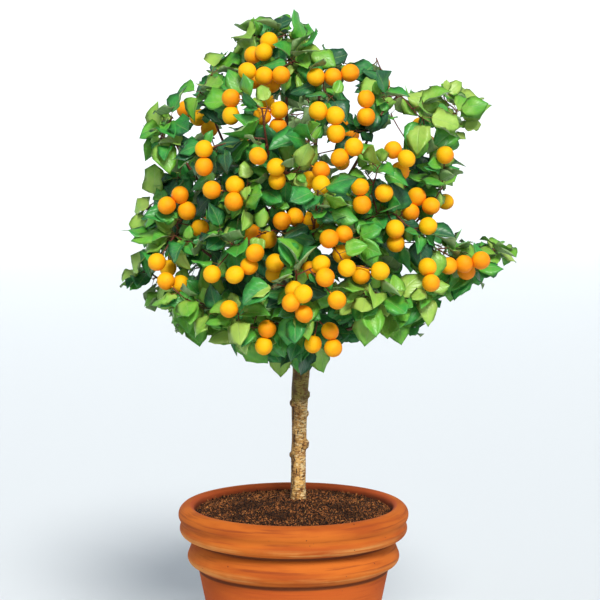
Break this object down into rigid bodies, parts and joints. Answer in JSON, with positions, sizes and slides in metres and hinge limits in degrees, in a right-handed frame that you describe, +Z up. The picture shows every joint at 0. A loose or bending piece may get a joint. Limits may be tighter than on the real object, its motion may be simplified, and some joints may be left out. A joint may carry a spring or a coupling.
{
  "type": "potted apricot tree",
  "caption": "Small standard apricot tree in fruit, on one stem, in a filled terracotta pot with a double rolled rim",
  "frame": {"origin": "centre of the flat underside of the pot", "axes": "+Z up along the stem, +X to the right of the pictured side, which faces -Y"},
  "size_m": [0.7892, 0.6978, 1.3596],
  "materials": {
    "terracotta": "matte",
    "soil": "matte",
    "bark": "matte",
    "leaf": "satin",
    "apricot": "satin"
  },
  "bodies": {
    "root": {"pot": "terracotta", "soil": "soil", "trunk": "bark", "leafy_branch_01": "leaf", "leafy_branch_02": "leaf", "leafy_branch_03": "leaf", "leafy_branch_04": "leaf", "leafy_branch_05": "leaf", "leafy_branch_06": "leaf", "leafy_branch_07": "leaf", "leafy_branch_08": "leaf", "leafy_branch_09": "leaf", "leafy_branch_10": "leaf", "leafy_branch_11": "leaf", "leafy_branch_12": "leaf", "leafy_branch_13": "leaf", "leafy_branch_14": "leaf", "leafy_branch_15": "leaf", "leafy_branch_16": "leaf", "leafy_branch_17": "leaf", "leafy_branch_18": "leaf", "leafy_branch_19": "leaf", "leafy_branch_20": "leaf", "apricots_01": "apricot", "apricots_02": "apricot", "apricots_03": "apricot", "apricots_04": "apricot", "apricots_05": "apricot", "apricots_06": "apricot", "apricots_07": "apricot", "apricots_08": "apricot", "apricots_09": "apricot", "apricots_10": "apricot", "apricots_11": "apricot", "apricots_12": "apricot", "apricots_13": "apricot", "apricots_14": "apricot", "apricots_15": "apricot", "apricots_16": "apricot", "apricots_17": "apricot", "apricots_18": "apricot", "apricots_19": "apricot", "apricots_20": "apricot", "apricots_21": "apricot", "apricots_22": "apricot", "apricots_23": "apricot", "apricots_24": "apricot", "apricots_25": "apricot", "apricots_26": "apricot", "apricots_27": "apricot", "apricots_28": "apricot", "apricots_29": "apricot", "apricots_30": "apricot", "apricots_31": "apricot", "apricots_32": "apricot", "apricots_33": "apricot", "apricots_34": "apricot", "apricots_35": "apricot", "apricots_36": "apricot", "apricots_37": "apricot"}
  },
  "joints": []
}
